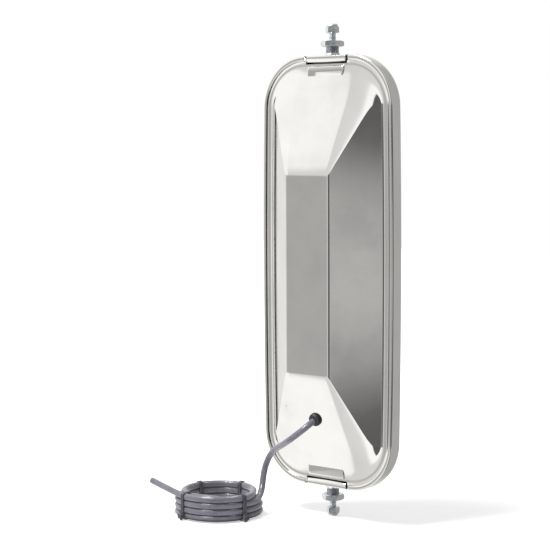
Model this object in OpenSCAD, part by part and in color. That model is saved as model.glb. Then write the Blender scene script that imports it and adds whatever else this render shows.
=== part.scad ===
// Heated vehicle mirror head on two end studs.
// The pressed back faces -Y, the glass faces +Y, and the long axis is Z.
// The origin is on the stud axis, at the face of the lower hex nut that an arm bears on.

/* [Rim] */
// Height of the rim from end to end
rim_h = 406; // [396:2:416]
// Width of the rim where its long sides meet the corners
rim_w = 149; // [146:1:152]
// Radius of the rim's corners
rim_r = 48; // [46:1:49]
// How far each long side bows out at its middle
side_bow = 1.5; // [0:0.5:3]
// Depth from the stud axis back to the outside of the rear lip
rim_back = 10.5; // [10:0.5:12]
// Depth from the stud axis forward to the outside of the front lip
rim_front = 9.6; // [9.6:0.1:11]
// Width of the rear lip along the sides
lip_side = 3.3; // [3:0.1:4]
// Width of the rear lip at the two ends
lip_end = 4.9; // [4.5:0.1:5.5]
// Thickness of the stainless sheet
sheet = 0.8; // [0.6:0.1:0.9]

/* [Back shell] */
// How far the flat back stands behind the flange
bulge = 30.5; // [24:0.5:34]
// Width of the flat back
flat_w = 51; // [40:1:60]
// Height of the flat back
flat_h = 190; // [170:2:210]
// Distance from the rim's side to the foot of the side slope
foot_side = 10.7; // [10:0.1:12]
// Distance from the rim's end to the foot of the end slope
foot_end = 13.5; // [13:0.1:15]
// Half width of the raised pad at each end
pad_half = 20.5; // [18:0.5:22]
// Height of the raised pad above the flange
pad_rise = 1.8; // [1:0.1:2.4]

/* [End clips and studs] */
// Width of each end clip
clip_w = 45; // [42:1:46]
// Gap between an end clip and each half of the rim
seam = 3; // [2:0.5:3.5]
// Distance from the rim's end to the face that an arm bears on
seat_out = 13.5; // [12:0.5:15]
// Diameter of the plain grip of the stud
grip_d = 6.35; // [6.35:0.01:6.35]
// Length of the grip between the hex nut and the lock nut
grip_len = 7.2; // [6:0.1:9]
// Height of the lock nut
lock_h = 8.3; // [8:0.1:9]
// Width across the flats of the lock nut
lock_af = 11.1; // [11:0.1:12]
// Width across the flats of the hex nut under the arm
hex_af = 19; // [18:0.5:20]
// Thickness of the hex nut under the arm
hex_h = 5.4; // [5:0.1:6]
// Outside diameter of the neck sleeve that turns in the bushing
neck_d = 12; // [12:0.1:12]

/* [Cable] */
// Diameter of the jacketed cable
cable_d = 6; // [6:0.1:6]
// Mean radius of the outer turns of the coil
coil_outer = 39; // [39:1:39]
// Number of layers in the coil
coil_layers = 4; // [4:1:4]
// Height of the grommet above the middle of the lower arm seat
grommet_z = 80.5; // [78:0.5:84]

/* [Hidden] */

$fn = 64;
mid_z = seat_out + rim_h / 2;
tip_out = seat_out + grip_len + lock_h;
floor_z = seat_out - tip_out;

corner_steps = 10;
side_steps = 6;

flange_y = -rim_back + sheet;
flange_edge = 1.6;
flat_y = flange_y - bulge;
end_run = rim_h / 2 - foot_end - flat_h / 2;
end_slope = atan(bulge / end_run);

bezel = 8.5;
hem = 1;
pad_reach = 10.6;
slot_top = 6;
slot_foot = 8;

glass_back = 3.9;
glass_t = 3;
glass_side = 5.8;
glass_end = 7;
gasket_t = 0.9;
gasket_cover = 3.7;
heater_t = 0.4;
pan_y = 0.8;
pan_side = 6.5;
pan_end = 12;
pan_t = 0.8;

strap_half = 16;
strap_t = 1.4;
strap_y = flange_y + sheet;
strap_rib = 9;
strap_rib_half = 140;
rivet_z = [-150, -20, 50, 150];
rivet_d = 4;
window = [44, 50, -60];
wire_hole_z = -75;

bushing_d = 13.4;
washer_d = 13.8;
washer_t = 1;
plate_t = 1.5;
clip_t = 1;
bushing_in = clip_t + plate_t;
stud_head_d = 8.8;
stud_head_t = 1.5;
shank_d = 5.6;
// Chamfered mouth of the hex nut, wider than the grip so that an arm lies flat on the nut
mouth_d = 7.4;
mouth_h = 0.9;
thread_d = 5.52;
fit = 0.05;
stud_in = bushing_in + 2 * washer_t;

grommet_d = 12.7;
grommet_stand = 3.5;
grommet_neck = 9.6;

coil_at = [-90, -62];
tie_t = 1;
tie_w = 4;
coil_low = floor_z + tie_t;
coil_high = coil_low + coil_layers * cable_d;
tie_angles = [89, 165, 256, 346];

// Point on the lower slope under the grommet, and the slope's outward direction
slope_z = grommet_z - mid_z;
slope_y = flange_y - bulge * (rim_h / 2 - foot_end + slope_z) / end_run;
slope_out = [0, -cos(end_slope), -sin(end_slope)];
grommet_foot = [0, slope_y, grommet_z];
cable_exit = grommet_foot + grommet_stand * slope_out;

// Route of the cable from the grommet to the coil
lead_route = [
    cable_exit, cable_exit + 1.2 * slope_out,
    [-0.5, -35.9, 76.8], [-2.2, -39.9, 74.1], [-4.7, -43, 71.1], [-8.1, -45.1, 68],
    [-12, -46, 64.9], [-16.1, -45.6, 62.1], [-20.3, -44, 59.8], [-31, -39, 54.2],
    [-40.2, -34, 49.8], [-48.5, -30, 45], [-55.1, -27.4, 39.2], [-59.4, -26.8, 32.2],
    [-61.2, -28.2, 24.5], [-60.6, -31, 17], [-58.5, -35.1, 10.2], [-55.9, -40.6, 5],
    [-53.5, -47.2, 1.8], [-52, -54, 0.5]
];

// Route of the free end, from the top outer turn outwards
tail_route = [
    [-99.4, -99.8, 6.5], [-109, -97.5, 7], [-120, -94.8, 8], [-131.5, -92, 9.3],
    [-143, -89.2, 10.6], [-154.5, -86.4, 12]
];

// Route of the cable inside the shell, in the frame of the mirror's middle
inner_route = [
    cable_exit - [0, 0, mid_z], grommet_foot - 4 * slope_out - [0, 0, mid_z],
    [0, -18, -132], [0, -14.8, -126], [0, -13.5, -118], [0, -13.5, -104]
];

// Route of one heater wire above its splice, on the +X side
wire_route = [[4, -13.5, -84], [4.2, -11.5, -79], [5, -7.5, -74], [8, -2, -68], [12, 2.7, -64]];

// ---------- outlines and swept skins ----------

function side_points(w, h, r, bow) = [
    for (i = [1 : side_steps - 1])
        let (t = 1 - 2 * i / side_steps)
        [w / 2 + bow * (1 - t * t), t * (h / 2 - r)]
];

function corner(w, h, r, from, to) = [
    for (i = [0 : corner_steps])
        let (a = from + (to - from) * i / corner_steps)
        [w / 2 - r + r * cos(a), (a >= 0 && from >= 0 ? h / 2 - r : r - h / 2) + r * sin(a)]
];

// Right-hand side of an outline, from its top round to its bottom
function right_side(w, h, r, bow) = concat(
    corner(w, h, r, 90, 0), side_points(w, h, r, bow), corner(w, h, r, -0.001, -90)
);

function outline(w, h, r, bow) =
    let (right = right_side(w, h, r, bow), n = len(right))
    concat(right, [for (i = [n - 1 : -1 : 0]) [-right[i].x, right[i].y]]);

// The right-hand side carried on to x = x_end along the top and the bottom
function half_outline(w, h, r, bow, x_end) = concat(
    [[x_end, h / 2]], right_side(w, h, r, bow), [[x_end, -h / 2]]
);

// A closed skin through rings that all have the same number of points
module skin(rings) {
    n = len(rings[0]);
    m = len(rings);
    sides = [
        for (j = [0 : m - 2], i = [0 : n - 1])
            let (a = j * n + i, b = j * n + (i + 1) % n)
            each [[a, b, b + n], [a, b + n, a + n]]
    ];
    caps = [[for (i = [n - 1 : -1 : 0]) i], [for (i = [0 : n - 1]) (m - 1) * n + i]];
    polyhedron(points = [for (ring = rings) each ring], faces = concat(sides, caps), convexity = 8);
}

// A slab between two depths, cut to a flat outline
module slab(y0, y1) {
    translate([0, y1, 0])
        rotate([90, 0, 0])
            linear_extrude(y1 - y0)
                children();
}

module plate(side, end, r_less, bow) {
    polygon(outline(rim_w - 2 * side, rim_h - 2 * end, rim_r - r_less, bow));
}

// ---------- swept tubes ----------

function unit(v) = v / norm(v);
function tangent(p, i) = unit(p[min(i + 1, len(p) - 1)] - p[max(i - 1, 0)]);
function carried(n, t) = unit(n - (n * t) * t);
function normals(p, n, i = 0) =
    i == len(p) ? [] : let (m = carried(n, tangent(p, i))) concat([m], normals(p, m, i + 1));

module tube(route, d, sides = 10) {
    across = normals(route, [1, 0.2, 0.1]);
    rings = [
        for (i = [0 : len(route) - 1])
            let (t = tangent(route, i), u = across[i], v = cross(t, u))
            [for (k = [0 : sides - 1])
                let (a = 360 * k / sides)
                route[i] + d / 2 * (cos(a) * u + sin(a) * v)]
    ];
    skin([for (i = [len(rings) - 1 : -1 : 0]) rings[i]]);
}

// ---------- shell ----------

// Each shell ring is [width, height, corner radius, bow, depth, ridge angle]
foot_ridge = 12;
full_ridge = 33;
edge_ring = [rim_w - 2 * flange_edge, rim_h - 2 * flange_edge, rim_r - flange_edge, side_bow, flange_y, 0];
foot_ring = [rim_w - 2 * foot_side, rim_h - 2 * foot_end, rim_r - foot_side, side_bow, flange_y, foot_ridge];
top_ring = [flat_w, flat_h, 4, 0, flat_y, full_ridge];
centre_ring = [flat_w - 12, flat_h - 12, 2, 0, flat_y, full_ridge];

function bend(a, b, c, share_in, share_out, steps) = [
    for (i = [0 : steps])
        let (t = i / steps, p = b + (a - b) * share_in, q = b + (c - b) * share_out)
        (1 - t) * (1 - t) * p + 2 * t * (1 - t) * b + t * t * q
];

// The ring part of the way up a slope, where the corner's ridge sharpens near the foot
function slope_ring(up) =
    let (
        ring = foot_ring + (top_ring - foot_ring) * up,
        near = max(0, 1 - up / 0.35)
    )
    [for (i = [0 : 4]) ring[i], full_ridge + (foot_ridge - full_ridge) * near * near];

shell_line = concat(
    [edge_ring],
    bend(edge_ring, foot_ring, slope_ring(0.06), 0.25, 1, 4),
    [slope_ring(0.14), slope_ring(0.24), slope_ring(0.36), slope_ring(0.9)],
    bend(foot_ring, top_ring, centre_ring, 0.06, 0.35, 4),
    [centre_ring]
);

// A corner that meets the long side at a ridge, and not smoothly
function ridged_side(w, h, r, bow, ridge) =
    let (
        top = [
            for (i = [0 : corner_steps])
                let (a = 90 + (ridge - 90) * i / corner_steps)
                [w / 2 + r * (cos(a) - cos(ridge)), h / 2 - r + r * sin(a)]
        ],
        z_ridge = top[corner_steps].y
    )
    concat(
        top,
        [
            for (i = [1 : side_steps - 1])
                let (t = 1 - 2 * i / side_steps)
                [w / 2 + bow * (1 - t * t), t * z_ridge]
        ],
        [for (i = [corner_steps : -1 : 0]) [top[i].x, -top[i].y]]
    );

function shell_ring(s, depth) =
    let (right = ridged_side(s[0], s[1], s[2], s[3], s[5]), n = len(right))
    [
        for (i = [0 : 2 * n - 1])
            let (p = i < n ? right[i] : [-right[2 * n - 1 - i].x, right[2 * n - 1 - i].y])
            [p.x, s[4] + depth, p.y]
    ];

module shell_skin() {
    n = len(shell_line);
    skin(concat(
        [for (i = [n - 1 : -1 : 0]) shell_ring(shell_line[i], sheet)],
        [for (i = [0 : n - 1]) shell_ring(shell_line[i], 0)]
    ));
}

// The pressed pad at the upper end, as a block grown inwards by `less`
module pad_block(less) {
    top = rim_h / 2 - pad_reach - less;
    translate([-pad_half + less, flange_y - pad_rise + less, top - 12 + less])
        cube([2 * (pad_half - less), pad_rise + sheet - less, 12 - less]);
}

module end_slot() {
    translate([-clip_w / 2 - 1.5, flange_y - 1, rim_h / 2 - slot_foot])
        cube([clip_w + 3, sheet + 2, slot_foot + 1]);
}

module back_shell() {
    color([0.86, 0.86, 0.84])
        translate([0, 0, mid_z])
            difference() {
                union() {
                    shell_skin();
                    pad_block(0);
                    mirror([0, 0, 1]) pad_block(0);
                }
                pad_hollow();
                mirror([0, 0, 1]) pad_hollow();
                end_slot();
                mirror([0, 0, 1]) end_slot();
                translate([0, slope_y, slope_z])
                    rotate([90 + end_slope, 0, 0])
                        cylinder(h = 8, d = grommet_neck + 0.1, center = true);
            }
}

module pad_hollow() {
    translate([-pad_half + sheet, flange_y - pad_rise + sheet, rim_h / 2 - pad_reach - 7])
        cube([2 * (pad_half - sheet), pad_rise + 2, 7 - sheet]);
}

// ---------- rim ----------

// Rim section as [distance in along the sides, distance in at the ends, depth]
function roll(grow, from, to, steps) = [
    for (i = [0 : steps])
        let (a = from + (to - from) * i / steps,
             u = grow + (bezel - grow) * (1 - cos(a)))
        [u, u, (rim_front - grow) * sin(a)]
];

rim_section = concat(
    [[lip_side, lip_end, -rim_back], [1.4, 1.4, -rim_back],
     [0.4, 0.4, -rim_back + 0.4], [0, 0, -rim_back + 1.4]],
    roll(0, 0, 90, 6),
    [[bezel + hem, bezel + hem, rim_front], [bezel + hem, bezel + hem, rim_front - sheet - hem],
     [bezel, bezel, rim_front - sheet - hem]],
    roll(sheet, 90, 0, 6),
    [[sheet, sheet, -rim_back + 1.6], [1.1, 1.1, -rim_back + 1.1],
     [1.6, 1.6, flange_y], [lip_side, lip_end, flange_y]]
);

module rim_half() {
    x_end = clip_w / 2 + seam;
    lines = [
        for (s = rim_section)
            half_outline(rim_w - 2 * s[0], rim_h - 2 * s[1], rim_r - s[0], side_bow, x_end)
    ];
    skin([
        for (i = [0 : len(lines[0]) - 1])
            [for (k = [0 : len(rim_section) - 1]) [lines[k][i].x, rim_section[k][2], lines[k][i].y]]
    ]);
}

module rim_right() {
    color([0.8, 0.8, 0.79])
        translate([0, 0, mid_z])
            rim_half();
}

module rim_left() {
    color([0.8, 0.8, 0.79])
        translate([0, 0, mid_z])
            mirror([1, 0, 0])
                rim_half();
}

// ---------- end clips, seen with the rim's end at z = 0 and outwards as +Z ----------

clip_section = [
    [-rim_back, -slot_top], [-rim_back, -1.4], [-rim_back + 1.4, 0],
    [rim_front - 2, 0], [rim_front - 0.6, -0.6], [rim_front, -2],
    [rim_front, -bezel - hem], [rim_front - sheet - hem, -bezel - hem],
    [rim_front - sheet - hem, -bezel], [rim_front - sheet, -bezel],
    [rim_front - sheet, -2], [rim_front - 2, -clip_t],
    [-rim_back + 1.6, -clip_t], [flange_y, -1.8], [flange_y, -slot_top]
];

module at_end(upper) {
    if (upper)
        translate([0, 0, mid_z + rim_h / 2]) children();
    else
        translate([0, 0, mid_z - rim_h / 2]) mirror([0, 0, 1]) children();
}

module clip() {
    color([0.84, 0.84, 0.83])
        difference() {
            translate([-clip_w / 2, 0, 0])
                rotate([90, 0, 90])
                    linear_extrude(clip_w)
                        polygon(clip_section);
            cylinder(h = 10, d = bushing_d + 2 * fit, center = true);
        }
}

// Flanged bushing whose flared collar stands on the clip
module bushing() {
    bore = neck_d / 2 + fit;
    color([0.82, 0.8, 0.74])
        rotate_extrude()
            polygon([
                [bore, -bushing_in], [bushing_d / 2, -bushing_in], [bushing_d / 2, 0],
                [7.5, 0], [7.4, 0.5], [7, 1], [6.7, 1.6], [6.6, 2.3], [bore, 2.3]
            ]);
}

// ---------- stud hardware, in the same end frame ----------

module stud() {
    color([0.62, 0.63, 0.62])
        rotate_extrude()
            polygon([
                [0, -stud_in - stud_head_t], [stud_head_d / 2 - 0.4, -stud_in - stud_head_t],
                [stud_head_d / 2, -stud_in - stud_head_t + 0.4], [stud_head_d / 2, -stud_in],
                [shank_d / 2, -stud_in], [shank_d / 2, seat_out],
                [grip_d / 2, seat_out], [grip_d / 2, seat_out + grip_len],
                [thread_d / 2, seat_out + grip_len], [thread_d / 2, tip_out - 0.5],
                [thread_d / 2 - 0.5, tip_out], [0, tip_out]
            ]);
}

module ring(d_in, d_out, z0, z1) {
    difference() {
        translate([0, 0, z0]) cylinder(h = z1 - z0, d = d_out);
        translate([0, 0, z0 - 1]) cylinder(h = z1 - z0 + 2, d = d_in);
    }
}

module neck_sleeve() {
    color([0.45, 0.46, 0.5])
        ring(shank_d + 2 * fit, neck_d, -bushing_in - washer_t, seat_out - hex_h);
}

// Hexagonal blank with its corners turned off at both ends
module hex_blank(af, z0, z1, turn_low, turn_high) {
    across = af / cos(30);
    intersection() {
        translate([0, 0, z0]) rotate(30) cylinder(h = z1 - z0, d = across, $fn = 6);
        rotate_extrude()
            polygon([
                [0, z0], [af / 2 - 0.2, z0], [across / 2 + 0.1, z0 + turn_low],
                [across / 2 + 0.1, z1 - turn_high], [af / 2 - 0.2, z1], [0, z1]
            ]);
    }
}

module hex_nut() {
    color([0.62, 0.67, 0.68])
        difference() {
            hex_blank(hex_af, seat_out - hex_h, seat_out, 0.9, 0.9);
            translate([0, 0, seat_out - hex_h - 1]) cylinder(h = hex_h + 2, d = shank_d + 2 * fit);
            translate([0, 0, seat_out - mouth_h])
                cylinder(h = mouth_h + 0.01, d1 = shank_d + 2 * fit, d2 = mouth_d);
        }
}

module thrust_washer() {
    color([0.6, 0.6, 0.6])
        ring(shank_d + 2 * fit, washer_d, -stud_in, -stud_in + washer_t);
}

module wave_washer() {
    color([0.5, 0.5, 0.52])
        ring(neck_d + 0.2, washer_d, -stud_in + washer_t, -bushing_in - 0.15);
}

lock_base = seat_out + grip_len;
ring_low = lock_base + lock_h - 2.6;
ring_high = lock_base + lock_h - 0.7;
ring_d = 8.4;

module lock_nut() {
    color([0.6, 0.6, 0.6])
        difference() {
            union() {
                hex_blank(lock_af, lock_base + 0.05, lock_base + lock_h - 2.4, 0.6, 0.5);
                rotate_extrude()
                    polygon([
                        [0, ring_low - 1], [5.3, ring_low - 1], [5.3, lock_base + lock_h - 1.4],
                        [4.4, lock_base + lock_h], [0, lock_base + lock_h]
                    ]);
            }
            translate([0, 0, lock_base - 1]) cylinder(h = lock_h + 3, d = thread_d + 2 * fit);
            translate([0, 0, ring_low]) cylinder(h = ring_high - ring_low, d = ring_d + 0.14);
            translate([0, 0, ring_high - 0.1]) cylinder(h = 2, d = 7);
        }
}

module nut_ring() {
    color([0.2, 0.35, 0.6])
        ring(thread_d + 2 * fit, ring_d, ring_low + 0.15, ring_high - 0.15);
}

// ---------- glass pack ----------

module mirror_glass() {
    color([0.75, 0.8, 0.85])
        translate([0, 0, mid_z])
            slab(glass_back, glass_back + glass_t) plate(glass_side, glass_end, glass_side, 0);
}

module glass_gasket() {
    front = glass_back + glass_t;
    color([0.08, 0.08, 0.09])
        translate([0, 0, mid_z]) {
            difference() {
                slab(glass_back, front + gasket_t)
                    plate(glass_side - gasket_t, glass_end - gasket_t, glass_side - gasket_t, 0);
                slab(glass_back - 1, front) plate(glass_side, glass_end, glass_side, 0);
                slab(front - 1, front + 2)
                    plate(glass_side + gasket_cover, glass_end + gasket_cover, glass_side + gasket_cover, 0);
            }
        }
}

module service_window(y0, y1) {
    translate([-window[0] / 2, y0, window[2] - window[1] / 2])
        cube([window[0], y1 - y0, window[1]]);
}

module rivet_bores(d, y0, y1) {
    for (z = rivet_z)
        translate([0, y0, z]) rotate([-90, 0, 0]) cylinder(h = y1 - y0, d = d);
}

module heater_pad() {
    color([0.75, 0.45, 0.2])
        translate([0, 0, mid_z])
            slab(glass_back - heater_t, glass_back) plate(14, 28, 22, 0);
}

module foam_sheet() {
    color([0.2, 0.2, 0.22])
        translate([0, 0, mid_z])
            difference() {
                slab(pan_y + pan_t, glass_back - heater_t) plate(14, 28, 22, 0);
                rivet_bores(10, pan_y, glass_back);
                service_window(pan_y, glass_back);
            }
}

module backing_pan() {
    color([0.66, 0.68, 0.68])
        translate([0, 0, mid_z])
            difference() {
                slab(strap_y, pan_y + pan_t) plate(pan_side, pan_end, 10, 0);
                slab(strap_y - 1, pan_y) plate(pan_side + pan_t, pan_end + pan_t, 10 + pan_t, 0);
                rivet_bores(rivet_d + 2 * fit, pan_y - 1, pan_y + 3);
                service_window(pan_y - 1, pan_y + 3);
                for (s = [-1, 1])
                    translate([-strap_half - 1, strap_y - 1, s * (rim_h / 2 - pan_end) - 3])
                        cube([2 * strap_half + 2, strap_t + 2, 6]);
            }
}

module strap_end() {
    difference() {
        translate([-strap_half, strap_y, -bushing_in]) cube([2 * strap_half, 16.5, plate_t]);
        cylinder(h = 20, d = bushing_d + 2 * fit, center = true);
    }
}

module spine_strap() {
    top = rim_h / 2 - clip_t;
    color([0.12, 0.12, 0.13])
        translate([0, 0, mid_z])
            difference() {
                union() {
                    translate([-strap_half, strap_y, -top]) cube([2 * strap_half, strap_t, 2 * top]);
                    translate([0, 0, rim_h / 2]) strap_end();
                    mirror([0, 0, 1]) translate([0, 0, rim_h / 2]) strap_end();
                    for (s = [-1, 1])
                        translate([s * (strap_half - strap_t / 2) - strap_t / 2, strap_y - strap_rib, -strap_rib_half])
                            cube([strap_t, strap_rib + 0.5, 2 * strap_rib_half]);
                }
                rivet_bores(rivet_d + 2 * fit, strap_y - 1, strap_y + 3);
                for (z = [wire_hole_z, 0, 100])
                    translate([0, strap_y - 1, z]) rotate([-90, 0, 0]) cylinder(h = 4, d = 16);
                translate([9, strap_y - 1, -112]) rotate([-90, 0, 0]) cylinder(h = 4, d = 3.6);
            }
}

module strap_spacers() {
    color([0.7, 0.7, 0.68])
        translate([0, 0, mid_z])
            difference() {
                rivet_bores(10, strap_y + strap_t, pan_y);
                rivet_bores(rivet_d + 2 * fit, strap_y, pan_y + 1);
            }
}

module strap_rivets() {
    color([0.7, 0.7, 0.7])
        translate([0, 0, mid_z])
            for (z = rivet_z)
                translate([0, 0, z])
                    rotate([-90, 0, 0])
                        rotate_extrude()
                            polygon([
                                [0, strap_y - 1.8], [2.2, strap_y - 1.7], [3.4, strap_y - 1], [4, strap_y],
                                [rivet_d / 2, strap_y], [rivet_d / 2, pan_y + pan_t],
                                [3.6, pan_y + pan_t], [3.4, pan_y + pan_t + 0.8], [0, pan_y + pan_t + 0.8]
                            ]);
}

// ---------- wiring inside the head ----------

module on_slope() {
    translate(grommet_foot)
        rotate([90 + end_slope, 0, 0])
            children();
}

module grommet() {
    color([0.1, 0.1, 0.11])
        on_slope()
            rotate_extrude()
                polygon([
                    [cable_d / 2, -3], [5.9, -3], [6, -2.2], [5.6, -1.2], [grommet_neck / 2, -1.2],
                    [grommet_neck / 2, 0.3], [grommet_d / 2 - 0.1, 0.3], [grommet_d / 2, 1.2],
                    [5.6, 2.8], [4.6, grommet_stand], [cable_d / 2, grommet_stand]
                ]);
}

module inner_cable() {
    color([0.55, 0.54, 0.6])
        translate([0, 0, mid_z])
            tube(inner_route, cable_d - 0.1);
}

module cable_clamp() {
    color([0.15, 0.15, 0.16])
        translate([0, 0, mid_z - 116])
            difference() {
                union() {
                    translate([0, -13.5, 0]) cylinder(h = 8, r = 4.2);
                    translate([0, strap_y - 1.2, 0]) cube([14, 1.2, 8]);
                }
                translate([0, -13.5, -1]) cylinder(h = 10, r = 3.05);
                translate([9, strap_y - 3, 4]) rotate([-90, 0, 0]) cylinder(h = 6, d = 3.4);
            }
}

module clamp_screw() {
    color([0.75, 0.75, 0.72])
        translate([9, 0, mid_z - 112])
            rotate([-90, 0, 0]) {
                translate([0, 0, strap_y - 3.2]) cylinder(h = 2, d1 = 5, d2 = 6.4);
                translate([0, 0, strap_y - 1.3]) cylinder(h = 6, d = 3.3);
            }
}

module wire_splices() {
    color([0.15, 0.25, 0.6])
        for (s = [-1, 1])
            translate([s * 4, -13.5, mid_z - 98])
                cylinder(h = 14, d = 4.6);
}

module heater_wires() {
    color([0.6, 0.1, 0.1])
        translate([0, 0, mid_z])
            for (s = [0, 1])
                mirror([s, 0, 0]) {
                    tube(wire_route, 2, 8);
                    tube([[1.5, -13.5, -104], [2.6, -13.5, -101], [4, -13.5, -98]], 2, 8);
                }
}

module heater_terminals() {
    color([0.8, 0.6, 0.25])
        translate([0, 0, mid_z])
            for (s = [-1, 1])
                translate([s * 12 - 3.5, glass_back - heater_t - 0.8, -64])
                    cube([7, 0.8, 12]);
}

module thermostat() {
    color([0.7, 0.7, 0.7])
        translate([0, 0, mid_z - 44])
            rotate([-90, 0, 0])
                rotate_extrude()
                    polygon([
                        [0, -2.5], [5.2, -2.5], [6, -1.7], [6, 1.6],
                        [8, 1.8], [8, glass_back - heater_t], [0, glass_back - heater_t]
                    ]);
}

// ---------- cable outside the head ----------

module lead_cable() {
    color([0.57, 0.55, 0.62]) tube(lead_route, cable_d);
}

module cable_tail() {
    color([0.57, 0.55, 0.62]) tube(tail_route, cable_d);
}

module cable_coil() {
    color([0.52, 0.51, 0.57])
        translate([coil_at.x, coil_at.y, 0])
            rotate_extrude()
                translate([coil_outer - 1.5 * cable_d, coil_low])
                    square([2 * cable_d, coil_layers * cable_d]);
}

module cable_tie() {
    inside = coil_outer - 1.5 * cable_d - 0.2;
    outside = coil_outer + 0.5 * cable_d + 0.1;
    difference() {
        translate([inside - tie_t, -tie_w / 2, floor_z])
            cube([outside - inside + 2 * tie_t, tie_w, coil_high - floor_z + tie_t]);
        translate([inside, -tie_w, coil_low])
            cube([outside - inside, 2 * tie_w, coil_high - coil_low]);
    }
    translate([outside, -3, floor_z]) cube([4, 6, 5]);
}

module cable_ties() {
    color([0.4, 0.4, 0.44])
        translate([coil_at.x, coil_at.y, 0])
            for (a = tie_angles)
                rotate(a) cable_tie();
}

// ---------- nodes ----------

back_shell();
rim_left();
rim_right();
at_end(true) clip();  // upper_clip
at_end(false) clip();  // lower_clip
mirror_glass();
glass_gasket();
heater_pad();
foam_sheet();
backing_pan();
spine_strap();
strap_spacers();
strap_rivets();
at_end(true) bushing();  // upper_bushing
at_end(false) bushing();  // lower_bushing
grommet();
inner_cable();
cable_clamp();
clamp_screw();
wire_splices();
heater_wires();
heater_terminals();
thermostat();
lead_cable();
cable_coil();
cable_tail();
cable_ties();
at_end(false) stud();  // lower_stud
at_end(false) neck_sleeve();  // lower_neck_sleeve
at_end(false) hex_nut();  // lower_hex_nut
at_end(false) thrust_washer();  // lower_thrust_washer
at_end(false) wave_washer();  // lower_wave_washer
at_end(true) stud();  // upper_stud
at_end(true) neck_sleeve();  // upper_neck_sleeve
at_end(true) hex_nut();  // upper_hex_nut
at_end(true) thrust_washer();  // upper_thrust_washer
at_end(true) wave_washer();  // upper_wave_washer
at_end(false) nut_ring();  // lower_nut_ring
at_end(false) lock_nut();  // lower_lock_nut
at_end(true) nut_ring();  // upper_nut_ring
at_end(true) lock_nut();  // upper_lock_nut
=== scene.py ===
"""Looks of the heated mirror head: polished shell and rim, stud hardware, glass and coiled cable.

Everything is in metres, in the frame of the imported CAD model. The back of the head faces -Y.
"""

import math

import bmesh
import bpy
from mathutils import Matrix, Vector


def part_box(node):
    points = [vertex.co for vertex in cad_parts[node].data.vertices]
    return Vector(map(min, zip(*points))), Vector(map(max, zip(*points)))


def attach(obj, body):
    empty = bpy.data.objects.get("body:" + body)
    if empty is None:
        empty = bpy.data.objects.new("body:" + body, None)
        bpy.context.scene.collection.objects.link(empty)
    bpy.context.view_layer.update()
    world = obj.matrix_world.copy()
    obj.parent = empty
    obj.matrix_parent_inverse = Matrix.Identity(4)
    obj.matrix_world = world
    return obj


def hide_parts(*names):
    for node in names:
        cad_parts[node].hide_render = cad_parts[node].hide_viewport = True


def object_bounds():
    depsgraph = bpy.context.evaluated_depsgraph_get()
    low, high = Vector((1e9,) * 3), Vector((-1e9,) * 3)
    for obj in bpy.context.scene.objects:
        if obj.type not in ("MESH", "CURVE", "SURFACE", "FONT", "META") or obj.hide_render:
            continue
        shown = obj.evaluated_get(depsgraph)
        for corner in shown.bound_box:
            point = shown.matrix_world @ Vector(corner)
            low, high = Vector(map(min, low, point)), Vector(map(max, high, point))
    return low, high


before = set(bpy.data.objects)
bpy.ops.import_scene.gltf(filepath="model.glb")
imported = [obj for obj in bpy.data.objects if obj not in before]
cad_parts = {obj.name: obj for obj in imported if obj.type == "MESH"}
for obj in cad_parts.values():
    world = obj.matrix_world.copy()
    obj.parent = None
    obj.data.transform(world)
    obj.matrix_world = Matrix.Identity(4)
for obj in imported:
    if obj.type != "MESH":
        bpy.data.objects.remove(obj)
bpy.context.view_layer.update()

MM = 0.001
TURN = 2 * math.pi


# ---------- camera ----------

CAMERA_AZIMUTH = math.radians(39)
CAMERA_RISE = math.radians(5)
CAMERA_DISTANCE = 1.5
CAMERA_LENS = 104.2
CAMERA_ROLL = math.radians(0.25)
CAMERA_CLIP = (0.05, 60)
# Where the camera aims, from the middle of the head
AIM_RIGHT = -0.0543
AIM_UP = -0.0019


def aim_camera():
    across = Vector((math.cos(CAMERA_AZIMUTH), math.sin(CAMERA_AZIMUTH), 0))
    back = Vector(
        (
            math.sin(CAMERA_AZIMUTH) * math.cos(CAMERA_RISE),
            -math.cos(CAMERA_AZIMUTH) * math.cos(CAMERA_RISE),
            math.sin(CAMERA_RISE),
        )
    )
    rim_low, rim_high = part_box("rim_right")
    middle = Vector((0, 0, (rim_low.z + rim_high.z) / 2))
    target = middle + across * AIM_RIGHT + Vector((0, 0, AIM_UP))
    data = bpy.data.cameras.new("camera")
    data.lens = CAMERA_LENS
    data.clip_start, data.clip_end = CAMERA_CLIP
    camera = bpy.data.objects.new("camera", data)
    camera.location = target + back * CAMERA_DISTANCE
    turn = (-back).to_track_quat("-Z", "Y").to_matrix().to_4x4()
    camera.rotation_euler = (turn @ Matrix.Rotation(-CAMERA_ROLL, 4, "Z")).to_euler()
    bpy.context.scene.collection.objects.link(camera)
    bpy.context.scene.camera = camera


aim_camera()
bpy.context.scene.view_settings.view_transform = "Standard"


# ---------- materials: one class for sockets, one for a node tree ----------


class Value:
    """A node's output. Arithmetic on it adds Math nodes."""

    def __init__(self, tree, socket):
        self.tree, self.socket = tree, socket

    def maths(self, operation, *terms):
        return self.tree.node("ShaderNodeMath", {"operation": operation}, dict(enumerate(terms)))

    def __add__(self, other):
        return self.maths("ADD", self, other)

    def __radd__(self, other):
        return self.maths("ADD", other, self)

    def __sub__(self, other):
        return self.maths("SUBTRACT", self, other)

    def __rsub__(self, other):
        return self.maths("SUBTRACT", other, self)

    def __mul__(self, other):
        return self.maths("MULTIPLY", self, other)

    def __rmul__(self, other):
        return self.maths("MULTIPLY", other, self)

    def __truediv__(self, other):
        return self.maths("DIVIDE", self, other)


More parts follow.
